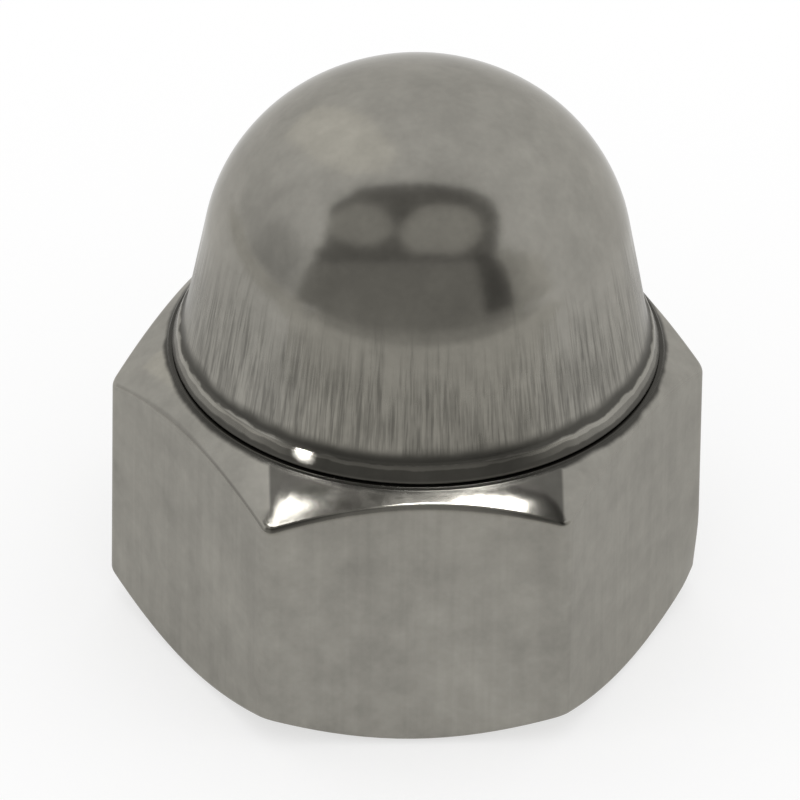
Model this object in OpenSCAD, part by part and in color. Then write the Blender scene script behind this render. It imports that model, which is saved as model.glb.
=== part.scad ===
// Domed cap nut: a hexagon nut body closed by a drawn sheet cap, welded on by its flange.
//
// Origin: centre of the hexagon, on the bearing face. +Z points to the dome.
// Two corners of the hexagon lie on the X axis, and one flat faces -Y.
// What is turned (pad, top chamfer, thread) and the cap share one axis, which runs
// a little off the hexagon's centre, as it does on nuts turned from hexagon bar.

/* [Hexagon] */

// Width across the flats
across_flats = 13; // [10.5:0.5:18]

// Height of the nut body, from the bearing face to the seam under the cap
body_h = 7.55; // [6:0.05:14]

// How far the round bearing face stays inside the flats, on each side
bearing_inset = 0.2; // [0:0.05:0.6]

// Angle between each chamfer and the bearing face
chamfer_angle = 34; // [15:1:40]

// Distance from the hexagon's centre to the thread's axis
runout = 0.24; // [0:0.01:0.28]

// Direction of that distance, turned from +X towards +Y
runout_angle = 36; // [0:1:359]

/* [Thread] */

// Nominal diameter of the thread
thread_d = 8; // [5:0.5:10]

// Pitch of the thread
thread_pitch = 1.25; // [0.7:0.05:1.5]

// How much wider than the thread the countersink at each end is
lead_in_extra = 0.7; // [0.2:0.1:1.2]

// Angle between each countersink and the bearing face
lead_in_angle = 30; // [20:5:45]

/* [Pad under the cap] */

// How far the pad's edge stays inside the flats
pad_inset = 0.3; // [0.3:0.05:0.6]

// Height of the pad above the start of the top chamfer
pad_h = 0.1; // [0.1:0.05:1]

// Radius of the hollow fillet at the pad's foot
pad_cove = 0.12; // [0.04:0.02:0.3]

// Radius on the pad's top edge
pad_edge = 0.06; // [0.02:0.02:0.14]

/* [Cap] */

// Thickness of the drawn sheet
cap_wall = 0.5; // [0.3:0.05:0.8]

// How far the flange's edge stays inside the pad's edge
flange_inset = 0.1; // [0:0.05:0.2]

// How far the flange stands out from the foot of the cap's wall
flange_w = 0.25; // [0.2:0.05:1]

// Radius of the fillet between the flange and the wall
flange_fillet = 0.15; // [0.05:0.05:0.45]

// Radius on the upper edge of the flange
flange_edge = 0.15; // [0.05:0.05:0.2]

// Radius on the lower edge of the flange, which opens the seam
seam_edge = 0.06; // [0.02:0.02:0.1]

// How far the wall leans in from upright, in degrees
wall_taper = 10; // [0:1:12]

// Height of the straight wall, from the flange's top to where the dome begins
wall_h = 2.5; // [0.5:0.05:6]

/* [Hidden] */

$fn = 128;

// depth of a metric internal thread, as a share of its pitch
thread_depth_share = 1.0825;
bore_d = thread_d - thread_depth_share * thread_pitch;
lead_in_d = thread_d + lead_in_extra;
lead_in_h = (lead_in_d - bore_d) / 2 * tan(lead_in_angle);

flat_r = across_flats / 2;
corner_r = flat_r / cos(30);
bearing_r = flat_r - bearing_inset;
pad_r = flat_r - pad_inset;

// the most of the pad's height that its foot's fillet and its edge's round may take
cove_share = 0.6;
edge_share = 0.3;
cove_r = min(pad_cove, pad_h * cove_share);
edge_r = min(pad_edge, pad_h * edge_share);
shoulder_r = pad_r + cove_r;
shoulder_z = body_h - pad_h;

// a radius and a height that clear the whole hexagon, and a height under the cap
clear_r = corner_r + runout + 1;
clear_h = body_h + 1;
below = -1;
chamfer_drop = tan(chamfer_angle);

// where the turned axis stands
axis_at = [runout * cos(runout_angle), runout * sin(runout_angle), 0];

flange_r = pad_r - flange_inset;
foot_r = flange_r - flange_w;

// the flange keeps room for its rounded edge above, and for a flat ring to rest on below
round_share = 0.6;
edge_round_r = min(flange_edge, flange_w * round_share);
rest_w = 0.06;
reach_share = (1 - sin(wall_taper)) / cos(wall_taper);
fillet_room = min(flange_w - edge_round_r, flange_w - seam_edge - rest_w);
fillet_r = min(flange_fillet, fillet_room / reach_share);

// centre of the fillet's arc
fillet_at = [foot_r + fillet_r * reach_share, cap_wall + fillet_r];

// where the wall runs into the dome, and the dome's radius and centre
wall_top = [foot_r - wall_h * tan(wall_taper), cap_wall + wall_h];
dome_r = wall_top.x / cos(wall_taper);
dome_z = wall_top.y - dome_r * sin(wall_taper);

// arcs run this little past the lines they join, so that each joint is one clean crossing
hair = 0.001;

// ---- nut body ----

// quarter of a disc, corner at the origin, filling +X +Y
module quarter(r) {
    intersection() {
        circle(r);
        square(r + 1);
    }
}

// what a quarter-round fillet of radius r fills in an inside corner at the origin
module cove(r) {
    difference() {
        square(r);
        translate([r, r]) circle(r);
    }
}

// what a quarter-round of radius r, centred on the origin, leaves of its outside corner
module corner_cut(r) {
    difference() {
        square(2 * r);
        circle(r);
    }
}

// rectangle from the axis out to radius r, with a round of radius e on its upper outer corner
module disc_outline(r, h, e) {
    square([r - e, h]);
    square([r, h - e]);
    translate([r - e, h - e]) quarter(e);
}

// outline of the turned top: the chamfer's cone, the pad on it and the cove between them
module turned_outline() {
    polygon([
        [0, 0],
        [clear_r, 0],
        [clear_r, shoulder_z - (clear_r - shoulder_r) * chamfer_drop],
        [shoulder_r, shoulder_z],
        [0, shoulder_z]
    ]);
    disc_outline(pad_r, body_h, edge_r);
    translate([pad_r, shoulder_z]) cove(cove_r);
}

// outline that leaves the round bearing face and cuts the lower chamfer
module bearing_outline() {
    polygon([
        [0, 0],
        [bearing_r, 0],
        [clear_r, (clear_r - bearing_r) * chamfer_drop],
        [clear_r, clear_h],
        [0, clear_h]
    ]);
}

// tapping hole with a countersink at each end
module thread_hole() {
    translate([0, 0, -1]) cylinder(d = bore_d, h = body_h + 2);
    cylinder(d1 = lead_in_d, d2 = bore_d, h = lead_in_h);
    translate([0, 0, body_h - lead_in_h]) cylinder(d1 = bore_d, d2 = lead_in_d, h = lead_in_h);
}

module nut_body() {
    color([0.55, 0.54, 0.52])
        difference() {
            intersection() {
                cylinder(r = corner_r, h = clear_h, $fn = 6);
                rotate_extrude() bearing_outline();
                translate(axis_at) rotate_extrude() turned_outline();
            }
            translate(axis_at) thread_hole();
        }
}

// ---- cap ----

// the point of the leaning wall at height z; t is how far it lies inside the cap's outside
function wall_at(t, z) = [foot_r - t / cos(wall_taper) - (z - cap_wall) * tan(wall_taper), z];

// outline of the dome and the leaning wall, down to height z
module dome_outline(t, z) {
    touch = wall_top - t * [cos(wall_taper), sin(wall_taper)];
    polygon([
        [0, z],
        wall_at(t, z),
        touch,
        [0, touch.y]
    ]);
    intersection() {
        translate([0, dome_z]) circle(dome_r - t + hair);
        translate([0, z]) square(dome_z + dome_r + 2);
    }
}

// what lies inside the wall's bend into the flange, between height z and the bend's top
module bend(t, z) {
    touch = fillet_at - (fillet_r + t) * [cos(wall_taper), sin(wall_taper)];
    difference() {
        polygon([
            [0, z],
            [fillet_at.x, z],
            fillet_at,
            touch,
            [0, touch.y]
        ]);
        translate(fillet_at) circle(fillet_r + t + hair);
    }
}

// outline of the cap's outside: flange, fillet, leaning wall and dome
module cap_outside() {
    difference() {
        disc_outline(flange_r, cap_wall, edge_round_r);
        translate([flange_r - seam_edge, seam_edge]) mirror([0, 1]) corner_cut(seam_edge);
    }
    dome_outline(0, cap_wall / 2);
    bend(0, cap_wall / 2);
}

// outline of the cap's hollow: the same bends, one sheet thickness further in
module cap_inside() {
    dome_outline(cap_wall, below);
    bend(cap_wall, below);
}

module cap() {
    color([0.6, 0.59, 0.57])
        translate(axis_at + [0, 0, body_h])
            rotate_extrude() difference() {
                cap_outside();
                cap_inside();
            }
}

nut_body();
cap();
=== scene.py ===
"""Domed cap nut: hexagon nut body with a drawn sheet cap welded on by its flange.

Lengths are in millimetres inside the shape functions and become metres when a mesh is made.
The nut body and the cap are each one closed mesh, made of rings of points round an upright axis.
"""
import math

import bmesh
import bpy
import numpy as np
from mathutils import Matrix, Vector


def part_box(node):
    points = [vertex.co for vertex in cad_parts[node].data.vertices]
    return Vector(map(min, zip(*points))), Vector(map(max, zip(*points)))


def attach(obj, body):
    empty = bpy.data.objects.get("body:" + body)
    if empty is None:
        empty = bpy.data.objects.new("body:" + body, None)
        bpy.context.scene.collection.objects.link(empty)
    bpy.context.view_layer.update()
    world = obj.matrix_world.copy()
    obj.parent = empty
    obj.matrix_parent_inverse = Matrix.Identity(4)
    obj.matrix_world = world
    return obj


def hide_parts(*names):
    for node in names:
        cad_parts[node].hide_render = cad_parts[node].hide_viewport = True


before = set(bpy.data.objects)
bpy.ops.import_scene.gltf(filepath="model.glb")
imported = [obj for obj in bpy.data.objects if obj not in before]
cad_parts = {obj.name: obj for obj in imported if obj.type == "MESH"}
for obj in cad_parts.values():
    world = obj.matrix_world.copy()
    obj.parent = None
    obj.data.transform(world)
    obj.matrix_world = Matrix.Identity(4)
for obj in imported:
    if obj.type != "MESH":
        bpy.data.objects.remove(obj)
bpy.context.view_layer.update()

MM = 0.001

# ---- driving sizes, in mm ----

body_lo, body_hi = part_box("nut_body")
cap_lo, cap_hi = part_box("cap")

FLAT_R = (body_hi.y - body_lo.y) / 2 / MM
CORNER_X = FLAT_R * math.tan(math.radians(30))
BODY_H = body_hi.z / MM
AXIS = np.array([(cap_lo.x + cap_hi.x) / 2 / MM, (cap_lo.y + cap_hi.y) / 2 / MM])
FLANGE_R = (cap_hi.x - cap_lo.x) / 2 / MM
CAP_TOP = cap_hi.z / MM

THREAD_D = 8.0
THREAD_PITCH = 1.25
THREAD_DEPTH_SHARE = 1.0825
BORE_R = (THREAD_D - THREAD_DEPTH_SHARE * THREAD_PITCH) / 2
LEAD_IN_R = 4.35
LEAD_IN_SLOPE = math.tan(math.radians(30))
# the countersinks' rims are a little rounded: steps of radius and depth across the round
LEAD_IN_RIM = ((-0.16, 0.092), (-0.06, 0.036), (-0.015, 0.01), (0.03, 0.0))
LEAD_IN_FLAT = LEAD_IN_R + 0.1
# depth at which the thread is cut off by the countersinks
THREAD_CUT = 0.17

BEARING_R = FLAT_R - 0.25
# the bearing face's edge is a little rounded: steps of radius and height
BEARING_RIM = ((-0.09, 0.0), (-0.05, 0.001), (-0.02, 0.008), (0.015, 0.02), (0.04, 0.031))
CHAMFER_ANGLE = math.radians(34)
CHAMFER_SLOPE = math.tan(CHAMFER_ANGLE)
# from the chamfer's surface up to an upright one
CHAMFER_TURN = math.pi / 2 - CHAMFER_ANGLE
PAD_R = FLAT_R - 0.3
PAD_H = 0.1
COVE_R = 0.06
SHOULDER_R = PAD_R + COVE_R
SHOULDER_Z = BODY_H - PAD_H
# round on the pad's upper edge, and the height of its wall's upper strip
PAD_EDGE = 0.03
PAD_STRIP = 0.012
# where the chamfer runs into the fillet at the pad's foot
COVE_TOUCH = PAD_R + COVE_R * (1 - math.cos(CHAMFER_TURN))
# the turned chamfer bulges a little: radius of its bulge, the widest stretch that bulges,
# and how far before the fillet it ends
CHAMFER_CROWN_R = 4.2
CHAMFER_CROWN_W = 1.2
CHAMFER_CROWN_END = 0.02
# where the pad's edge comes close to a flat, rings still keep this much between them
LEAST_CHAMFER = 0.004
LEAST_CROWN = 0.003
LEAST_STEP = 0.0003

# rounds on the upright edges, and between the flats and the upper and the lower chamfer
CORNER_ROUND = 0.45
TOP_ROUND = 0.27
LOWER_ROUND = 0.18
# share by which the upper round varies along the flats
TOP_UNEVEN = 0.16
# forged hexagons are a little narrower at the top
DRAFT = 0.055
# the corner on +X is rubbed back near its foot: how deep, how wide in degrees,
# and the heights between which that fades out
WORN_DEPTH = 0.13
WORN_WIDTH = 4.2
WORN_FADE = (0.3, 2.4)

SHEET = 0.5
FLANGE_Z = BODY_H + SHEET
# how far the wall leans in
TAPER = math.radians(10.8)
# the flange's slope: how far its foot stays inside the CAD's flange, its height and its lean
FLARE_GAP = 0.003
FLARE_H = 0.38
FLARE_TURN = math.radians(20)
# the bead on top of that slope, how far round it goes, and the hollow fillet that follows
BEAD_R = 0.13
BEAD_TURN = math.radians(56)
FILLET_R = 0.2
# the wall's foot turns out a little before the fillet, on a wide arc
SWEEP_R = 1.5
SWEEP_TURN = math.radians(20)
# inner radius of the sheet's bend, and the round on the flange's lower edge
BEND_R = 0.1
SEAM_EDGE = 0.06

# the crown is a little flatter than a ball: half its width, and its height above the widest level
CROWN_R = 5.366
CROWN_H = 4.95
CROWN_Z = CAP_TOP - CROWN_H
# how much fuller than an oval the crown is half way up
CROWN_FULL = 0.035
# pressed sheet is uneven: mean depth, then depth and wavelength of its slow and its fine waves
PRESSED_MEAN = 0.008
PRESSED_SLOW, SLOW_WAVE = 0.004, 4.5
PRESSED_FINE, FINE_WAVE = 0.0014, 1.7
PRESSED_LEAST, PRESSED_MOST = 0.0005, 0.03
# up to this height above the flange's top the sheet is less uneven: this share of the above
STEADY_H = 0.3
STEADY_SHARE = 0.6
# how far the dome's middle point stands above the points round it
TOP_POINT = 0.002
CAP_COLUMNS = 220

# ---- small helpers ----


def arc(cx, cz, radius, start, end, steps):
    """Points of an arc in the outline's plane, from start to end in degrees."""
    angles = np.radians(np.linspace(start, end, steps))
    return [(cx + radius * math.cos(a), cz + radius * math.sin(a)) for a in angles]


def line(a, b, steps):
    """Points from a to b, without b."""
    return [(a[0] + (b[0] - a[0]) * i / steps, a[1] + (b[1] - a[1]) * i / steps) for i in range(steps)]


def smooth_step(x, low, high):
    """0 below low, 1 above high, and a soft rise between."""
    t = np.clip((x - low) / (high - low), 0, 1)
    return t * t * (3 - 2 * t)


def soft_noise(x, y, z, size, seed, waves=14):
    """Smooth unevenness between about -1 and 1; size is the length of its waves."""
    draw = np.random.default_rng(seed)
    total = 0
    for _ in range(waves):
        way = draw.normal(size=3)
        way *= draw.uniform(0.6, 1.5) * 2 * math.pi / size / np.linalg.norm(way)
        total = total + np.sin(way[0] * x + way[1] * y + way[2] * z + draw.uniform(0, 2 * math.pi))
    return total / math.sqrt(waves)


def ring(x, y, z):
    """One ring of points."""
    return np.stack([x, y, np.broadcast_to(z, x.shape)], axis=1)


def mesh_piece(name, points, faces):
    """A smooth-shaded piece from points in mm."""
    mesh = bpy.data.meshes.new(name)
    mesh.from_pydata([tuple(p) for p in np.asarray(points) * MM], [], faces)
    mesh.validate()
    piece = bpy.data.objects.new(name, mesh)
    bpy.context.collection.objects.link(piece)
    for face in mesh.polygons:
        face.use_smooth = True
    return piece


def weld(piece, gap=2e-7):
    """Joins points that lie on each other, and turns every face outwards."""
    work = bmesh.new()
    work.from_mesh(piece.data)
    bmesh.ops.remove_doubles(work, verts=work.verts, dist=gap)
    bmesh.ops.dissolve_degenerate(work, edges=work.edges, dist=gap)
    bmesh.ops.recalc_face_normals(work, faces=work.faces)
    work.to_mesh(piece.data)
    work.free()
    for face in piece.data.polygons:
        face.use_smooth = True


# ---- nut body ----


def corner_point(at, turn):
    """A point on a corner's round: at is the corner's direction, and turn the point's turn off it."""
    centre = (FLAT_R - CORNER_ROUND) / math.cos(math.radians(30))
    return [centre * math.cos(at) + CORNER_ROUND * math.cos(at + turn),
            centre * math.sin(at) + CORNER_ROUND * math.sin(at + turn)]


def hexagon_outline():
    """The rounded hexagon's points, close together at its corners, and the angle of each."""
    turns = np.radians(np.linspace(-30, 30, 11))
    spread = [0.004, 0.012, 0.03, 0.06, 0.1, 0.15, 0.2, 0.26, 0.32, 0.38, 0.44, 0.5]
    spread = np.array(spread + [1 - s for s in reversed(spread[:-1])])
    points = []
    for corner in range(6):
        at = math.radians(60 * corner)
        points += [corner_point(at, turn) for turn in turns]
        start = np.array(points[-1])
        end = np.array(corner_point(at + math.radians(60), turns[0]))
        points += [list(start + (end - start) * s) for s in spread]
    points = np.array(points)
    return points[:, 0], points[:, 1], np.arctan2(points[:, 1], points[:, 0])


HEX_X, HEX_Y, AROUND = hexagon_outline()
HEX_RHO = np.hypot(HEX_X, HEX_Y)
COS, SIN = np.cos(AROUND), np.sin(AROUND)


def turned(radius, z):
    """A ring about the turned axis."""
    return ring(AXIS[0] + radius * COS, AXIS[1] + radius * SIN, z)


def off_axis(way, distance, z):
    """A ring at a distance from the turned axis, along the given directions."""
    return ring(AXIS[0] + way[:, 0] * distance, AXIS[1] + way[:, 1] * distance, z)


def centred(radius, z):
    """A ring about the hexagon's centre."""
    return ring(radius * COS, radius * SIN, z)


def worn_corner(z):
    """How far the corner on +X is rubbed back at height z, for each point of the outline."""
    near = np.exp(-(np.degrees(AROUND) / WORN_WIDTH) ** 2)
    return near * WORN_DEPTH * (1 - smooth_step(z, *WORN_FADE))


def hexed(inset, z):
    """A ring that follows the hexagon, inset by a small amount."""
    rho = HEX_RHO - inset - worn_corner(z) - DRAFT * np.clip(z / BODY_H, 0, 1)
    return ring(rho * COS, rho * SIN, z)


def top_height(distance):
    """Height of the chamfer, and of the hollow fillet at the pad's foot, at a distance from the axis."""
    cone = SHOULDER_Z - (distance - SHOULDER_R) * CHAMFER_SLOPE
    middle_z = SHOULDER_Z - (COVE_TOUCH - SHOULDER_R) * CHAMFER_SLOPE + COVE_R * math.sin(CHAMFER_TURN)
    across = np.clip((SHOULDER_R - distance) / COVE_R, -1, 1)
    hollow = middle_z - COVE_R * np.sqrt(1 - across ** 2)
    return np.where(distance > COVE_TOUCH, cone, hollow)


def underside_rings():
    """Rings of the underside: the countersink's rim, the bearing face and its edge."""
    rings = [turned(LEAD_IN_R + r, z) for r, z in LEAD_IN_RIM]
    inner, outer = turned(LEAD_IN_FLAT, 0.0), centred(BEARING_R + BEARING_RIM[0][0], 0.0)
    rings += [inner * (1 - t) + outer * t for t in (0, 0.1, 0.3, 0.5, 0.7, 0.9)]
    return rings + [centred(BEARING_R + r, z) for r, z in BEARING_RIM]


def lower_chamfer_rings(edge_z):
    """Rings of the lower chamfer and of the round that runs from it into the flats."""
    back = LOWER_ROUND * math.tan(CHAMFER_TURN / 2)
    first = LOWER_ROUND * (1 - math.cos(CHAMFER_TURN))
    start = centred(BEARING_R + BEARING_RIM[-1][0], BEARING_RIM[-1][1])
    end = hexed(first, edge_z - first * CHAMFER_SLOPE)
    rings = [start * (1 - t) + end * t for t in (0.15, 0.4, 0.65, 0.88)]
    for a in np.linspace(-CHAMFER_TURN, 0, 7):
        rings.append(hexed(LOWER_ROUND * (1 - math.cos(a)), edge_z + back + LOWER_ROUND * math.sin(a)))
    return rings


def flat_rings(low):
    """Rings of the flats, from a height up, and of the round at their upper edge."""
    sharp_x = (HEX_RHO - DRAFT) * COS - AXIS[0]
    sharp_y = (HEX_RHO - DRAFT) * SIN - AXIS[1]
    reach = np.hypot(sharp_x, sharp_y)
    # where the chamfer is narrow, so is the round
    room = np.clip(reach - PAD_R - LEAST_CHAMFER, LEAST_CHAMFER, None)
    uneven = 1 + TOP_UNEVEN * soft_noise(HEX_X, HEX_Y, 0 * HEX_X, 5.0, seed=11)
    top_round = np.minimum(TOP_ROUND * uneven, room * 1.6)
    high = top_height(reach) - top_round * math.tan(CHAMFER_TURN / 2)
    rings = []
    for t in (0.006, 0.025, 0.07, 0.14, 0.21, 0.28, 0.36, 0.45, 0.55, 0.66, 0.77, 0.87, 0.94, 0.98, 0.995):
        rings.append(hexed(0, low + (high - low) * t))
    for a in np.linspace(0, CHAMFER_TURN, 10):
        rings.append(hexed(top_round * (1 - math.cos(a)), high + top_round * math.sin(a)))
    return rings


def top_chamfer_rings(last, distance, way):
    """Rings of the bulged top chamfer and the hollow fillet, from the last ring up to the pad's wall."""
    drop = top_height(distance) - last[:, 2]
    chamfer_to = np.minimum(COVE_TOUCH + CHAMFER_CROWN_END, distance - LEAST_CROWN)
    width = np.clip(distance - chamfer_to, 0, CHAMFER_CROWN_W)
    rings = []
    for t in (0.05, 0.16, 0.3, 0.45, 0.6, 0.75, 0.88, 1.0):
        d = distance + (chamfer_to - distance) * t
        crown = math.sin(math.pi * t) * width ** 2 / (8 * CHAMFER_CROWN_R)
        rings.append(off_axis(way, d, top_height(d) - drop * (1 - t) + crown))
    for i, b in enumerate(np.linspace(CHAMFER_TURN, 0, 8)):
        d = np.minimum(PAD_R + COVE_R * (1 - math.cos(b)), chamfer_to - LEAST_STEP * (i + 1))
        rings.append(off_axis(way, d, top_height(d)))
    return rings


def pad_rings(way):
    """Rings of the pad's wall, edge and top, and of the upper countersink's rim."""
    rings = [off_axis(way, PAD_R, BODY_H - PAD_EDGE - drop) for drop in (PAD_STRIP, 0)]
    rings += [off_axis(way, r, z) for r, z in arc(PAD_R - PAD_EDGE, BODY_H - PAD_EDGE, PAD_EDGE, 18, 90, 5)]
    edge, mouth = rings[-1], turned(LEAD_IN_FLAT, BODY_H)
    rings += [edge * (1 - t) + mouth * t for t in (0.03, 0.2, 0.4, 0.6, 0.8, 1.0)]
    return rings + [turned(LEAD_IN_R + r, BODY_H - z) for r, z in reversed(LEAD_IN_RIM)]


def body_outside_rings():
    """Rings from the underside countersink, round the outside, to the top countersink."""
    edge_z = (HEX_RHO - BEARING_R) * CHAMFER_SLOPE
    edge_z = edge_z - worn_corner(edge_z) * CHAMFER_SLOPE
    rings = underside_rings() + lower_chamfer_rings(edge_z)
    rings += flat_rings(edge_z + LOWER_ROUND * math.tan(CHAMFER_TURN / 2))
    last = rings[-1]
    distance = np.hypot(last[:, 0] - AXIS[0], last[:, 1] - AXIS[1])
    way = (last[:, :2] - AXIS) / distance[:, None]
    return rings + top_chamfer_rings(last, distance, way) + pad_rings(way)


def thread_radius(phase):
    """Radius of the thread at a phase of its pitch, 0 to 1, with the crest first."""
    crest, flank, root = 0.25, 0.3125, 0.125
    deep = THREAD_D / 2 - BORE_R
    if phase <= crest:
        return BORE_R
    if phase <= crest + flank:
        return BORE_R + deep * (phase - crest) / flank
    if phase <= crest + flank + root:
        return BORE_R + deep
    return BORE_R + deep * (1 - phase) / flank


def thread_rows(column, turn):
    """Rows of the thread: each climbs one pitch a turn, and is cut off at the countersinks."""
    phases = (0.012, 0.125, 0.238, 0.262, 0.34, 0.42, 0.5, 0.55,
              0.575, 0.625, 0.675, 0.7, 0.75, 0.83, 0.91, 0.988)
    around = AROUND[column]
    rows = []
    for lap in range(-2, int(BODY_H / THREAD_PITCH) + 3):
        for phase in phases:
            z = (lap + phase + turn / (2 * math.pi)) * THREAD_PITCH
            z = np.clip(z, THREAD_CUT, BODY_H - THREAD_CUT)
            cone = LEAD_IN_R - np.minimum(z, BODY_H - z) / LEAD_IN_SLOPE
            r = np.maximum(thread_radius(phase), cone)
            rows.append(np.stack([AXIS[0] + r * np.cos(around), AXIS[1] + r * np.sin(around), z], axis=1))
    return rows


def build_nut_body():
    """The nut body as one closed mesh: outside rings, and helical rows for the thread."""
    rings = body_outside_rings()
    count = len(AROUND)
    faces = []
    for j in range(len(rings) - 1):
        for i in range(count):
            k = (i + 1) % count
            faces.append((j * count + i, j * count + k, (j + 1) * count + k, (j + 1) * count + i))
    # the thread's rows start on +X and end there, one point wider than a ring
    turn = np.mod(AROUND, 2 * math.pi)
    order = np.argsort(turn)
    column = np.append(order, order[0])
    rows = thread_rows(column, np.append(turn[order], turn[order][0] + 2 * math.pi))
    base = len(rings) * count
    wide = len(column)
    for j in range(len(rows) - 1):
        for i in range(count):
            a = base + j * wide + i
            faces.append((a, a + wide, a + wide + 1, a + 1))
    # flat ends of the thread, from where it is cut off to the outside's first and last ring
    low_end = base + len(rows) * wide
    high_end = low_end + count
    top = base - count
    for i in range(count):
        k = (i + 1) % count
        faces.append((low_end + i, low_end + k, k, i))
        faces.append((top + i, top + k, high_end + k, high_end + i))
    cut_r = LEAD_IN_R - THREAD_CUT / LEAD_IN_SLOPE
    ends = [turned(cut_r, THREAD_CUT), turned(cut_r, BODY_H - THREAD_CUT)]
    piece = mesh_piece("nut_body_steel", np.concatenate(rings + rows + ends), faces)
    weld(piece)
    return piece


# ---- cap ----


def crown_points(inset, start, end, steps):
    """Points of the crown from one angle to another, inset by a thickness."""
    points = []
    for a in np.radians(np.linspace(start, end, steps)):
        way = np.array([math.cos(a) / CROWN_R, math.sin(a) / CROWN_H])
        way /= np.linalg.norm(way)
        out = CROWN_FULL * max(math.sin(2 * a), 0) ** 2 - inset
        points.append((CROWN_R * math.cos(a) + out * way[0], CROWN_Z + CROWN_H * math.sin(a) + out * way[1]))
    return points


def turned_to(angle):
    """The direction at an angle in the outline's plane."""
    return np.array([math.cos(angle), math.sin(angle)])


def bend_arc(centre, radius, start, end, steps):
    """Points of an arc that bulges towards the axis, without its first point; angles in radians."""
    first, last = 180 + math.degrees(start), 180 + math.degrees(end)
    return arc(centre[0], centre[1], radius, first, last, steps)[1:]


def flange_outline(wall_top):
    """The outline from the wall's top down to the flange's lower edge, and the foot of the wall."""
    # the flange's slope runs up into a narrow bead; a hollow fillet joins the bead to the wall
    low = np.array([FLANGE_R - FLARE_GAP, BODY_H + SEAM_EDGE])
    high = low + FLARE_H * np.array([-math.sin(FLARE_TURN), math.cos(FLARE_TURN)])
    bead = high - BEAD_R * turned_to(FLARE_TURN)
    fillet = bead + (BEAD_R + FILLET_R) * turned_to(BEAD_TURN)
    foot = fillet - FILLET_R * turned_to(TAPER)
    # the wall's foot turns out a little before the fillet
    sweep = fillet + (SWEEP_R - FILLET_R) * turned_to(SWEEP_TURN)
    wall_foot = sweep - SWEEP_R * turned_to(TAPER)
    out = line(wall_top, wall_foot, 16)[1:]
    out += bend_arc(sweep, SWEEP_R, TAPER, SWEEP_TURN, 8)
    out += bend_arc(fillet, FILLET_R, SWEEP_TURN, BEAD_TURN, 9)
    out += arc(bead[0], bead[1], BEAD_R, math.degrees(BEAD_TURN), math.degrees(FLARE_TURN), 8)[1:]
    out += line(high, low, 6)[1:]
    out += arc(FLANGE_R - SEAM_EDGE, BODY_H + SEAM_EDGE, SEAM_EDGE, 0, -90, 6)
    return out, foot


def cap_outline():
    """The cap's closed outline from the top of the dome, down the outside and back up the inside."""
    lean = math.degrees(math.atan(math.tan(TAPER) * CROWN_H / CROWN_R))
    out = crown_points(0, 90, lean, 64)[1:]
    below, foot = flange_outline(out[-1])
    out += below
    outside = len(out)
    # the hollow, one sheet thickness further in
    bend = np.array([foot[0] + BEND_R, FLANGE_Z + BEND_R])
    out += arc(bend[0], bend[1], BEND_R + SHEET, 270, 180 + math.degrees(TAPER), 14)
    inner_top = crown_points(SHEET, lean, 90, 34)
    out += line(out[-1], inner_top[0], 8)[1:]
    out += inner_top[:-1]
    return out, outside


def pressed_in(x, y, z):
    """Points of the cap's outside, drawn in unevenly by about a hundredth of a millimetre."""
    level = z + 0 * x
    slow = PRESSED_SLOW * soft_noise(x, y, level, SLOW_WAVE, seed=21)
    fine = PRESSED_FINE * soft_noise(x, y, level, FINE_WAVE, seed=22)
    share = 1 if z > FLANGE_Z + STEADY_H else STEADY_SHARE
    shrink = np.clip(share * (PRESSED_MEAN + slow + fine), PRESSED_LEAST, PRESSED_MOST)
    length = math.hypot(x[0], max(z - CROWN_Z, 0))
    scale = 1 - shrink / max(length, 0.5)
    if z > CROWN_Z:
        level = CROWN_Z + (z - CROWN_Z) * scale
    return x * scale, y * scale, level


def build_cap():
    """The cap as one closed mesh, a little uneven on the outside as pressed sheet is."""
    outline, outside = cap_outline()
    around = np.linspace(0, 2 * math.pi, CAP_COLUMNS, endpoint=False)
    rings = []
    for n, (r, z) in enumerate(outline):
        x, y, level = r * np.cos(around), r * np.sin(around), z
        if n < outside:
            x, y, level = pressed_in(x, y, z)
        rings.append(ring(AXIS[0] + x, AXIS[1] + y, level))
    top = [[AXIS[0], AXIS[1], rings[0][:, 2].mean() + TOP_POINT]]
    under_top = [[AXIS[0], AXIS[1], CAP_TOP - SHEET]]
    points = np.concatenate([top] + rings + [under_top])
    last = 1 + (len(rings) - 1) * CAP_COLUMNS
    faces = []
    for i in range(CAP_COLUMNS):
        k = (i + 1) % CAP_COLUMNS
        faces.append((0, 1 + i, 1 + k))
        for n in range(len(rings) - 1):
            a, b = 1 + n * CAP_COLUMNS, 1 + (n + 1) * CAP_COLUMNS
            faces.append((a + i, b + i, b + k, a + k))
        faces.append((last + i, len(points) - 1, last + k))
    piece = mesh_piece("cap_steel", points, faces)
    weld(piece)
    return piece


# ---- parts of a finish ----

# the bare steel, and the colour it takes at a glancing look
STEEL = (0.272, 0.262, 0.234, 1)
STEEL_GLANCING = (0.80, 0.79, 0.77, 1)
# how ragged the edges of the dull metal and of its painted shade are
EDGE_JITTER = 0.16
# the cap's front, which is duller and darker, a painted dark reflection: where it fades out to the sides, and
# to the back
FRONT_SIDES = (2.0, 4.8)
FRONT_BACK = (-4.0, -3.0)
# the front chamfer, which gets a painted dark reflection: where it fades out to the back, where it starts,
# and the half width of its middle that gets hardly any
CHAMFER_BACK = (-4.4, -4.0)
CHAMFER_FOOT = (3.0, 4.0)
LESS_SHADED_MIDDLE = (1.2, 3.2)


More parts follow.
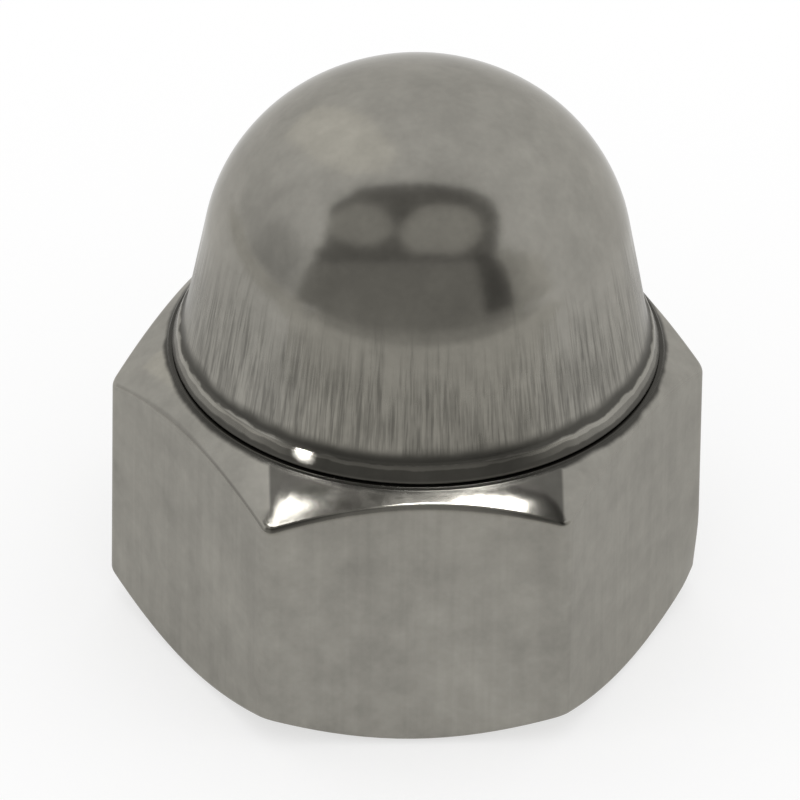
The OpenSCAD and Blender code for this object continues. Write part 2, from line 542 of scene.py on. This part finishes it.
def new_tree(name, inputs, outputs):
    """An empty shader node group with the named inputs and outputs."""
    tree = bpy.data.node_groups.new(name, "ShaderNodeTree")
    for label, kind, value in inputs:
        socket = tree.interface.new_socket(name=label, in_out="INPUT", socket_type=kind)
        socket.default_value = value
    for label, kind in outputs:
        tree.interface.new_socket(name=label, in_out="OUTPUT", socket_type=kind)
    return tree, tree.nodes.new("NodeGroupInput"), tree.nodes.new("NodeGroupOutput")


def math_node(tree, operation, *values, clamp=False):
    """A Math node fed by sockets or numbers."""
    made = tree.nodes.new("ShaderNodeMath")
    made.operation = operation
    made.use_clamp = clamp
    for slot, value in zip(made.inputs, values):
        if isinstance(value, (int, float)):
            slot.default_value = value
        else:
            tree.links.new(value, slot)
    return made.outputs[0]


def times(tree, a, b):
    """Two values multiplied."""
    return math_node(tree, "MULTIPLY", a, b)


def plus(tree, a, b):
    """Two values added."""
    return math_node(tree, "ADD", a, b)


def minus(tree, a, b):
    """The first value less the second."""
    return math_node(tree, "SUBTRACT", a, b)


def larger(tree, a, b):
    """The larger of two values."""
    return math_node(tree, "MAXIMUM", a, b)


def ramp(tree, value, low, high, to_low=0.0, to_high=1.0):
    """A smooth ramp of a value from one range to another."""
    made = tree.nodes.new("ShaderNodeMapRange")
    made.interpolation_type = "SMOOTHSTEP"
    tree.links.new(value, made.inputs["Value"])
    made.inputs["From Min"].default_value = low
    made.inputs["From Max"].default_value = high
    made.inputs["To Min"].default_value = to_low
    made.inputs["To Max"].default_value = to_high
    return made.outputs["Result"]


def rise(tree, value, low, high):
    """0 below one length in mm and 1 above the other, for a value in metres."""
    return ramp(tree, value, low * MM, high * MM)


def fall(tree, value, low, high):
    """1 below one length in mm and 0 above the other, for a value in metres."""
    return ramp(tree, value, low * MM, high * MM, 1.0, 0.0)


def band(tree, value, low, high, soft):
    """1 between two lengths in mm and 0 outside, with soft ends."""
    return times(tree, rise(tree, value, low - soft, low), fall(tree, value, high, high + soft))


def noise(tree, vector, scale, detail=3.0, rough=0.5):
    """A Noise Texture's grey value; scale counts its waves in a metre."""
    made = tree.nodes.new("ShaderNodeTexNoise")
    tree.links.new(vector, made.inputs["Vector"])
    made.inputs["Scale"].default_value = scale
    made.inputs["Detail"].default_value = detail
    made.inputs["Roughness"].default_value = rough
    return made.outputs["Fac"]


def place_and_parts(tree):
    """The place on the nut, whole and as its X, Y and Z."""
    place = tree.nodes.new("ShaderNodeTexCoord").outputs["Object"]
    split = tree.nodes.new("ShaderNodeSeparateXYZ")
    tree.links.new(place, split.inputs[0])
    return place, split.outputs


def dimmed(tree, colour, amount):
    """A colour made darker by an amount between 0 and 1."""
    scale = tree.nodes.new("ShaderNodeVectorMath")
    scale.operation = "SCALE"
    tree.links.new(colour, scale.inputs[0])
    tree.links.new(minus(tree, 1.0, amount), scale.inputs["Scale"])
    return scale.outputs[0]


def bump(tree, shader, height, strength, distance, before=None):
    """Feeds a height to the shader's normal, after another bump if there is one."""
    made = tree.nodes.new("ShaderNodeBump")
    made.inputs["Strength"].default_value = strength
    made.inputs["Distance"].default_value = distance
    tree.links.new(height, made.inputs["Height"])
    if before is not None:
        tree.links.new(before, made.inputs["Normal"])
    tree.links.new(made.outputs["Normal"], shader.inputs["Normal"])
    return made.outputs["Normal"]


def axial_marks_group():
    """Fine lines that run along the axis, as drawing and broaching leave: a height and a mask.

    Lines sets how close they lie, and Length how soon they end; a large one makes them short.
    """
    tree, given, out = new_tree(
        "axial_marks",
        [("Lines", "NodeSocketFloat", 30.0), ("Length", "NodeSocketFloat", 300.0)],
        [("Height", "NodeSocketFloat"), ("Dark lines", "NodeSocketFloat"), ("From axis", "NodeSocketFloat")],
    )
    _, parts = place_and_parts(tree)
    x = minus(tree, parts["X"], float(AXIS[0] * MM))
    y = minus(tree, parts["Y"], float(AXIS[1] * MM))
    far = math_node(tree, "SQRT", plus(tree, times(tree, x, x), times(tree, y, y)))
    far = larger(tree, far, 1e-5)
    tree.links.new(far, out.inputs["From axis"])
    # a noise that changes fast round the axis and slowly along it
    join = tree.nodes.new("ShaderNodeCombineXYZ")
    for slot, side in zip(join.inputs, (x, y)):
        tree.links.new(times(tree, math_node(tree, "DIVIDE", side, far), given.outputs["Lines"]), slot)
    tree.links.new(times(tree, parts["Z"], given.outputs["Length"]), join.inputs["Z"])
    fine = noise(tree, join.outputs[0], 1.0, detail=2.0, rough=0.55)
    tree.links.new(fine, out.inputs["Height"])
    tree.links.new(ramp(tree, fine, 0.40, 0.56, 1.0, 0.0), out.inputs["Dark lines"])
    return tree


def steel_tone_group():
    """Slow blotches, mottling and fine grain in the steel's colour and gloss."""
    tree, given, out = new_tree(
        "steel_tone",
        [
            ("Base", "NodeSocketColor", STEEL),
            ("Blotch", "NodeSocketFloat", 0.1),
            ("Gloss low", "NodeSocketFloat", 0.15),
            ("Gloss high", "NodeSocketFloat", 0.25),
        ],
        [("Color", "NodeSocketColor"), ("Roughness", "NodeSocketFloat")],
    )
    place = tree.nodes.new("ShaderNodeTexCoord").outputs["Object"]
    slow = noise(tree, place, 420.0, rough=0.55)
    grain = noise(tree, place, 5200.0, detail=2.0, rough=0.6)
    mottle = noise(tree, place, 1500.0, detail=2.0)
    mixed = plus(tree, times(tree, slow, 0.5), times(tree, mottle, 0.33))
    mixed = plus(tree, mixed, times(tree, grain, 0.17))
    # the mixed grey lies round a half: it lightens and darkens the steel by the same share
    shade = times(tree, minus(tree, mixed, 0.5), given.outputs["Blotch"])
    shade = plus(tree, times(tree, shade, 2.0), 1.0)
    scale = tree.nodes.new("ShaderNodeVectorMath")
    scale.operation = "SCALE"
    tree.links.new(given.outputs["Base"], scale.inputs[0])
    tree.links.new(shade, scale.inputs["Scale"])
    tree.links.new(scale.outputs[0], out.inputs["Color"])
    span = minus(tree, given.outputs["Gloss high"], given.outputs["Gloss low"])
    rough = plus(tree, given.outputs["Gloss low"], times(tree, span, mixed))
    tree.links.new(rough, out.inputs["Roughness"])
    return tree


def place_group(tree, group, **values):
    """Puts a node group into a material and sets its inputs."""
    made = tree.nodes.new("ShaderNodeGroup")
    made.node_tree = group
    for label, value in values.items():
        made.inputs[label.replace("_", " ")].default_value = value
    return made.outputs


def metal(name):
    """A new material with a plain metal shader in it."""
    material = bpy.data.materials.new(name)
    material.use_nodes = True
    tree = material.node_tree
    shader = tree.nodes["Principled BSDF"]
    shader.inputs["Metallic"].default_value = 1.0
    shader.inputs["Specular Tint"].default_value = STEEL_GLANCING
    return material, tree, shader


# ---- the cap's finish ----


def drawn_wall(tree, marks, level):
    """Where the drawing marks lie, how dark they are, and how high."""
    fine = place_group(tree, marks, Lines=80.0, Length=850.0)
    broad = place_group(tree, marks, Lines=36.0, Length=420.0)
    # their tops are ragged: every mark ends at its own height
    ragged = place_group(tree, marks, Lines=22.0, Length=60.0)
    raised = plus(tree, level, times(tree, ragged["Height"], 3.6 * MM))
    fade = fall(tree, raised, FLANGE_Z + 3.2, FLANGE_Z + 5.2)
    above = rise(tree, level, FLANGE_Z + 0.1, FLANGE_Z + 0.35)
    dark = plus(tree, times(tree, fine["Dark lines"], 0.24), times(tree, broad["Dark lines"], 0.18))
    return times(tree, fade, above), dark, fine["Height"]


def dull_and_shaded_flange(tree, place, parts):
    """How dull the metal is in the groove above the bead, on the flange and along the seam, and how much
    painted shade darkens it there.
    """
    level = parts["Z"]
    jitter = times(tree, minus(tree, noise(tree, place, 1500.0), 0.5), EDGE_JITTER * MM)
    uneven = plus(tree, level, jitter)
    groove = times(tree, rise(tree, uneven, FLANGE_Z - 0.06, FLANGE_Z),
                   fall(tree, uneven, FLANGE_Z + 0.08, FLANGE_Z + 0.4))
    well_below = BODY_H - 1
    seam = band(tree, uneven, well_below, BODY_H + 0.16, 0.12)
    flange = band(tree, level, well_below, FLANGE_Z, 0.1)
    bead = band(tree, uneven, FLANGE_Z - 0.12, FLANGE_Z - 0.06, 0.04)
    # the flange is dullest at the front, where its painted shade stands for a dark reflection, and there the
    # bead is left less bright
    side = math_node(tree, "ABSOLUTE", parts["X"])
    front = times(tree, fall(tree, side, *FRONT_SIDES), fall(tree, parts["Y"], *FRONT_BACK))
    slope = times(tree, flange, ramp(tree, front, 0.0, 1.0, 0.5, 1.0))
    shine = times(tree, bead, ramp(tree, front, 0.0, 1.0, 0.8, 0.4))
    dull_and_shaded = math_node(tree, "SUBTRACT", larger(tree, larger(tree, groove, seam), slope), shine, clamp=True)
    # painted shade: the colour is darkened by this much in the dull zones
    return dull_and_shaded, times(tree, dull_and_shaded, ramp(tree, front, 0.0, 1.0, 0.72, 0.7))


def cap_material(marks, tone):
    """Pressed steel: smooth dome, drawing marks on the wall, and dull metal with painted shade in the groove,
    on the flange and along the seam.
    """
    material, tree, shader = metal("pressed_cap_steel")
    look = place_group(tree, tone, Base=STEEL, Blotch=0.45, Gloss_low=0.12, Gloss_high=0.21)
    place, parts = place_and_parts(tree)
    wall, dark, marks_height = drawn_wall(tree, marks, parts["Z"])
    dull_and_shaded, painted_shade = dull_and_shaded_flange(tree, place, parts)
    colour = dimmed(tree, look["Color"], times(tree, dark, wall))
    # painted shade in the groove, on the flange and along the seam, darkest at the front
    tree.links.new(dimmed(tree, colour, painted_shade), shader.inputs["Base Color"])
    rough = plus(tree, look["Roughness"], times(tree, wall, 0.12))
    rough = plus(tree, rough, times(tree, dull_and_shaded, 0.2))
    tree.links.new(rough, shader.inputs["Roughness"])
    first = bump(tree, shader, times(tree, marks_height, wall), strength=0.4, distance=0.03 * MM)
    soft = noise(tree, place, 900.0, detail=2.0)
    bump(tree, shader, soft, strength=0.25, distance=0.02 * MM, before=first)
    return material


# ---- the nut body's finish ----


def dull_and_shaded_seam_side(tree, place, parts, from_axis):
    """How dull the metal is at the pad's foot, next to the seam, where painted shade also darkens it."""
    jitter = minus(tree, noise(tree, place, 1300.0), 0.5)
    away = plus(tree, from_axis, times(tree, jitter, EDGE_JITTER * MM))
    near = fall(tree, away, SHOULDER_R - 0.03, SHOULDER_R + 0.09)
    return times(tree, near, rise(tree, parts["Z"], BODY_H - 0.5, BODY_H - 0.3))


def front_chamfer(tree, parts, turned_face):
    """1 on the upper chamfer of the front flat, from corner to corner; and how much painted dark reflection
    darkens it.
    """
    side = math_node(tree, "ABSOLUTE", parts["X"])
    there = fall(tree, side, CORNER_X - 0.2, CORNER_X - 0.1)
    there = times(tree, there, fall(tree, parts["Y"], *CHAMFER_BACK))
    there = times(tree, there, turned_face)
    there = times(tree, there, rise(tree, parts["Z"], *CHAMFER_FOOT))
    # its middle gets hardly any of the painted reflection
    start, full = LESS_SHADED_MIDDLE
    return there, times(tree, there, ramp(tree, side, start * MM, full * MM, 0.1, 1.0))


def body_material(marks, tone):
    """Nut steel: satin flats with faint upright marks, bright turned faces, dull metal with painted shade
    under the seam, and a painted dark reflection on the front's upper chamfer.
    """
    material, tree, shader = metal("nut_steel")
    look = place_group(tree, tone, Base=STEEL, Blotch=0.50, Gloss_low=0.26, Gloss_high=0.40)
    lines = place_group(tree, marks, Lines=26.0, Length=120.0)
    place, parts = place_and_parts(tree)
    # flats and turned faces, told apart by how far they face up or down
    facing = tree.nodes.new("ShaderNodeSeparateXYZ")
    tree.links.new(place.node.outputs["Normal"], facing.inputs[0])
    upright = ramp(tree, math_node(tree, "ABSOLUTE", facing.outputs["Z"]), 0.15, 0.6, 1.0, 0.0)
    turned_face = minus(tree, 1.0, upright)
    dull_and_shaded = dull_and_shaded_seam_side(tree, place, parts, lines["From axis"])
    front, painted_reflection = front_chamfer(tree, parts, turned_face)
    dark = times(tree, times(tree, lines["Dark lines"], upright), 0.04)
    # painted shade next to the seam and a painted dark reflection on the front chamfer, both taken off the
    # colour
    painted_shade = larger(tree, times(tree, dull_and_shaded, 0.8), times(tree, painted_reflection, 0.62))
    tree.links.new(dimmed(tree, dimmed(tree, look["Color"], dark), painted_shade), shader.inputs["Base Color"])
    # turned faces are glossier; the seam's side and a scuffed patch left of the front's middle are less so
    rough = minus(tree, look["Roughness"], times(tree, turned_face, 0.21))
    rough = plus(tree, rough, times(tree, dull_and_shaded, 0.1))
    fine = noise(tree, place, 2600.0, detail=2.0)
    scuff = times(tree, band(tree, parts["X"], -1.9, -0.3, 0.7), front)
    scuff = times(tree, scuff, ramp(tree, fine, 0.3, 0.7, 0.3, 1.0))
    tree.links.new(plus(tree, rough, times(tree, scuff, 0.07)), shader.inputs["Roughness"])
    first = bump(tree, shader, times(tree, lines["Height"], upright), strength=0.12, distance=0.02 * MM)
    bump(tree, shader, fine, strength=0.2, distance=0.008 * MM, before=first)
    return material


# ---- camera ----

# it aims at a point on the upright axis, shifted right and up in its own view
AIM_Z = 6.5
AIM_RIGHT = -0.1946
AIM_UP = -0.4879
CAMERA_DISTANCE = 260.0
CAMERA_LENS = 467.35
CAMERA_HEIGHT_ANGLE = math.radians(35.306)
CAMERA_TURN = math.radians(2.552)
CAMERA_ROLL = math.radians(0.882)


def toward_camera():
    """The direction from the nut to the camera."""
    e, turn = CAMERA_HEIGHT_ANGLE, CAMERA_TURN
    return Vector((-math.cos(e) * math.sin(turn), -math.cos(e) * math.cos(turn), math.sin(e)))


def add_camera():
    """A long lens from the front and above, turned a little round the nut."""
    back = toward_camera()
    level = Vector((math.cos(CAMERA_TURN), -math.sin(CAMERA_TURN), 0))
    above = back.cross(level)
    right = level * math.cos(CAMERA_ROLL) + above * math.sin(CAMERA_ROLL)
    up = above * math.cos(CAMERA_ROLL) - level * math.sin(CAMERA_ROLL)
    aim = Vector((0, 0, AIM_Z)) + right * AIM_RIGHT + up * AIM_UP
    data = bpy.data.cameras.new("camera")
    data.sensor_width = 36
    data.lens = CAMERA_LENS
    data.clip_start = 0.01
    data.clip_end = 5
    camera = bpy.data.objects.new("camera", data)
    bpy.context.collection.objects.link(camera)
    axes = Matrix((right, up, back)).transposed().to_4x4()
    camera.matrix_world = Matrix.Translation((aim + back * CAMERA_DISTANCE) * MM) @ axes
    bpy.context.scene.camera = camera


# ---- floor and sky ----

# half the floor's width, its grey, and what is added to it where it is looked at
FLOOR_REACH = 1500.0
FLOOR_GREY = (0.45, 0.45, 0.45, 1)
FLOOR_SHOWN = 0.6
# the sky's brightness as light, and what is added to it where it is looked at
SKY_LIGHT = 0.9
SKY_SHOWN = 0.1
# directions in which reflections find the sky dimmer: where that starts and is full, and its amount
SKY_DIMMER = (
    ((-0.98, 0.17, -0.1), 0.75, 0.95, -0.2),
    ((-0.985, -0.17, 0.0), 0.84, 0.99, -0.2),
)


def bare_material(name):
    """A new material with nothing in it but its output."""
    material = bpy.data.materials.new(name)
    material.use_nodes = True
    tree = material.node_tree
    tree.nodes.clear()
    return material, tree, tree.nodes.new("ShaderNodeOutputMaterial")


def seen_or_mirrored(tree):
    """1 for what is looked at, in a mirror or through something clear too; and 1 in mirrors only."""
    path = tree.nodes.new("ShaderNodeLightPath").outputs
    seen = larger(tree, path["Is Camera Ray"], path["Is Glossy Ray"])
    return larger(tree, seen, path["Is Transmission Ray"]), path["Is Glossy Ray"]


def add_floor():
    """A pale floor that keeps the nut's shadow; from below it isn't seen."""
    material, tree, out = bare_material("floor_paper")
    paper = tree.nodes.new("ShaderNodeBsdfDiffuse")
    paper.inputs["Color"].default_value = FLOOR_GREY
    glow = tree.nodes.new("ShaderNodeEmission")
    seen, _ = seen_or_mirrored(tree)
    tree.links.new(times(tree, seen, FLOOR_SHOWN), glow.inputs["Strength"])
    both = tree.nodes.new("ShaderNodeAddShader")
    tree.links.new(paper.outputs[0], both.inputs[0])
    tree.links.new(glow.outputs[0], both.inputs[1])
    clear = tree.nodes.new("ShaderNodeBsdfTransparent")
    side = tree.nodes.new("ShaderNodeNewGeometry")
    mix = tree.nodes.new("ShaderNodeMixShader")
    tree.links.new(side.outputs["Backfacing"], mix.inputs[0])
    tree.links.new(both.outputs[0], mix.inputs[1])
    tree.links.new(clear.outputs[0], mix.inputs[2])
    tree.links.new(mix.outputs[0], out.inputs[0])
    far = FLOOR_REACH
    corners = [(-far, -far, 0), (far, -far, 0), (far, far, 0), (-far, far, 0)]
    floor = mesh_piece("floor", corners, [(0, 1, 2, 3)])
    floor.data.materials.append(material)


def add_world():
    """Even white surroundings, a little dimmer for light than for what is seen."""
    world = bpy.data.worlds.new("studio")
    bpy.context.scene.world = world
    world.use_nodes = True
    tree = world.node_tree
    tree.nodes.clear()
    out = tree.nodes.new("ShaderNodeOutputWorld")
    sky = tree.nodes.new("ShaderNodeBackground")
    seen, mirrored = seen_or_mirrored(tree)
    place = tree.nodes.new("ShaderNodeTexCoord")
    level = plus(tree, SKY_LIGHT, times(tree, seen, SKY_SHOWN))
    for way, start, full, change in SKY_DIMMER:
        toward = tree.nodes.new("ShaderNodeVectorMath")
        toward.operation = "DOT_PRODUCT"
        tree.links.new(place.outputs["Generated"], toward.inputs[0])
        toward.inputs[1].default_value = way
        amount = ramp(tree, toward.outputs["Value"], start, full, 0.0, change)
        level = plus(tree, level, times(tree, amount, mirrored))
    tree.links.new(level, sky.inputs["Strength"])
    sky.inputs["Color"].default_value = (1, 1, 1, 1)
    tree.links.new(sky.outputs[0], out.inputs[0])


# ---- cards ----

CARD_WHITE = (1.0, 0.99, 0.96, 1)
# how far in front of the nut the upright cards stand, and the front card's height
FRONT_Y = -200.0
FRONT_TOP = 172.0
# heights of the level cards
OVERHEAD = 210.0
FLOOR_CARD_Z = 1
# where each screen to the right starts and ends, and its tone
RIGHT_SCREENS = ((225, 330, 0.63), (330, 450, 0.74), (450, 620, 0.88))


def add_card(name, corners, tone):
    """A dull card that only reflections see."""
    card = mesh_piece(name, corners, [tuple(range(len(corners)))])
    material, tree, out = bare_material(name + "_tone")
    glow = tree.nodes.new("ShaderNodeEmission")
    glow.inputs["Color"].default_value = CARD_WHITE
    glow.inputs["Strength"].default_value = tone
    tree.links.new(glow.outputs[0], out.inputs[0])
    card.data.materials.append(material)
    card.visible_camera = False
    card.visible_diffuse = False
    card.visible_shadow = False
    card.visible_transmission = False


def standing(corners, back=0):
    """Corners of an upright card in front of the nut, from pairs of X and Z."""
    return [(x, FRONT_Y + back, z) for x, z in corners]


def lying(corners, z):
    """Corners of a level card, from pairs of X and Y."""
    return [(x, y, z) for x, y in corners]


def oval(x, y, wide, deep, steps=40):
    """Pairs of X and Y round an oval."""
    turns = np.linspace(0, 2 * math.pi, steps, endpoint=False)
    return [(x + wide * math.cos(a), y + deep * math.sin(a)) for a in turns]


def add_front_cards():
    """The dim side of the studio in front of the nut, and brighter screens to its right."""
    add_card("front_card", standing([(-450, 2), (225, -2), (225, FRONT_TOP), (-440, FRONT_TOP)]), tone=0.38)
    header = [(-430, FRONT_TOP), (205, FRONT_TOP), (215, OVERHEAD + 4), (-400, OVERHEAD + 4)]
    add_card("front_header", standing(header, back=1), tone=0.22)
    edge = [(128, 24), (228, 24), (234, 150), (208, OVERHEAD + 4), (136, OVERHEAD + 4)]
    add_card("front_edge", standing(edge, back=2), tone=0.13)
    for n, (start, end, tone) in enumerate(RIGHT_SCREENS):
        screen = [(start, 0), (end, 0), (end, 250), (start, 220)]
        add_card("right_screen_%d" % (n + 1), standing(screen), tone)


def add_overhead_cards():
    """A dim card overhead, two round reflectors under it, and a softbox behind."""
    dim = [(-400, FRONT_Y), (225, FRONT_Y), (196, -130), (172, -75), (134, -32), (84, -18), (40, -17),
           (-56, -17), (-104, -8), (-131, -18), (-178, -26), (-222, -82), (-290, -140), (-400, -165)]
    add_card("overhead_card", lying(dim, OVERHEAD), tone=0.23)
    add_card("reflector_left", lying(oval(-139, -98, 86, 58), OVERHEAD - 3), tone=0.54)
    add_card("reflector_right", lying(oval(46, -135, 90, 76), OVERHEAD - 3), tone=0.60)
    softbox = [(-52, 10), (-118, 30), (-176, 100), (-262, 262), (-420, 560), (-250, 560),
               (-70, 180), (-26, 50)]
    add_card("softbox_behind", lying(softbox, OVERHEAD), tone=1.22)


def add_floor_cards():
    """Cards just above the floor, darker than it."""
    far = [(-240, FRONT_Y), (240, FRONT_Y), (110, -52), (-110, -52)]
    add_card("far_floor", lying(far, FLOOR_CARD_Z), tone=0.54)
    near = [(-110, -52), (110, -52), (60, -16), (-60, -16)]
    add_card("near_floor", lying(near, FLOOR_CARD_Z), tone=0.86)
    left = [(-640, -350), (-64, -36), (-64, 56), (-640, 350)]
    add_card("left_floor", lying(left, FLOOR_CARD_Z), tone=0.80)


# ---- lamps ----

LAMP_Z = OVERHEAD - 6
LAMP_AIM = Vector((0, -4, 8))
# the glint on the bead: its turn round the axis and the bead's lean there, in degrees, and its place
GLINT_AROUND = -29.7
GLINT_LEAN = 27
GLINT_R = FLANGE_R - 0.08
GLINT_Z = FLANGE_Z - 0.18
# its lamp: how far off, how wide and deep, how strong, and how many degrees its light spreads
GLINT_DISTANCE = 4.0
GLINT_WIDE, GLINT_DEEP = 0.42, 0.16
GLINT_POWER = 1.3e-6
GLINT_SPREAD = 5


def turn_lamp(lamp, way):
    """Turns a lamp so that it shines along a direction."""
    lamp.rotation_euler = way.to_track_quat("-Z", "Y").to_euler()


def add_lamp(name, at, wide, deep, power, receiver):
    """An oval lamp that faces the nut and lights only one piece."""
    data = bpy.data.lights.new(name, "AREA")
    data.shape = "ELLIPSE"
    data.size = wide * MM
    data.size_y = deep * MM
    data.energy = power
    lamp = bpy.data.objects.new(name, data)
    bpy.context.collection.objects.link(lamp)
    lamp.location = Vector(at) * MM
    turn_lamp(lamp, LAMP_AIM - Vector(at))
    group = bpy.data.collections.new(name + "_lights")
    group.objects.link(receiver)
    lamp.light_linking.receiver_collection = group
    return lamp


def add_glint(receiver):
    """A pinpoint lamp that lights a short stretch of the flange's bead."""
    around, lean = math.radians(GLINT_AROUND), math.radians(GLINT_LEAN)
    spot = Vector((AXIS[0] + GLINT_R * math.sin(around), AXIS[1] - GLINT_R * math.cos(around), GLINT_Z))
    normal = Vector((math.sin(around) * math.cos(lean), -math.cos(around) * math.cos(lean), math.sin(lean)))
    # the lamp stands where the bead mirrors it towards the camera
    back = toward_camera()
    way = normal * (2 * normal.dot(back)) - back
    lamp = add_lamp("lamp_glint", spot + way * GLINT_DISTANCE, GLINT_WIDE, GLINT_DEEP, GLINT_POWER, receiver)
    turn_lamp(lamp, -way)
    lamp.data.spread = math.radians(GLINT_SPREAD)
    lamp.visible_camera = False


# ---- put it together ----

marks_group = axial_marks_group()
tone_group = steel_tone_group()

body = build_nut_body()
body.data.materials.append(body_material(marks_group, tone_group))
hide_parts("nut_body")
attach(body, "root")

cap = build_cap()
cap.data.materials.append(cap_material(marks_group, tone_group))
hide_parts("cap")
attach(cap, "root")

add_camera()
add_floor()
add_front_cards()
add_overhead_cards()
add_floor_cards()
add_world()
add_lamp("lamp_left", (-99, -36, LAMP_Z), wide=40, deep=52, power=0.085, receiver=body)
add_lamp("lamp_right", (38, -74, LAMP_Z), wide=118, deep=32, power=0.27, receiver=body)
add_glint(cap)

bpy.context.scene.view_settings.view_transform = "Standard"
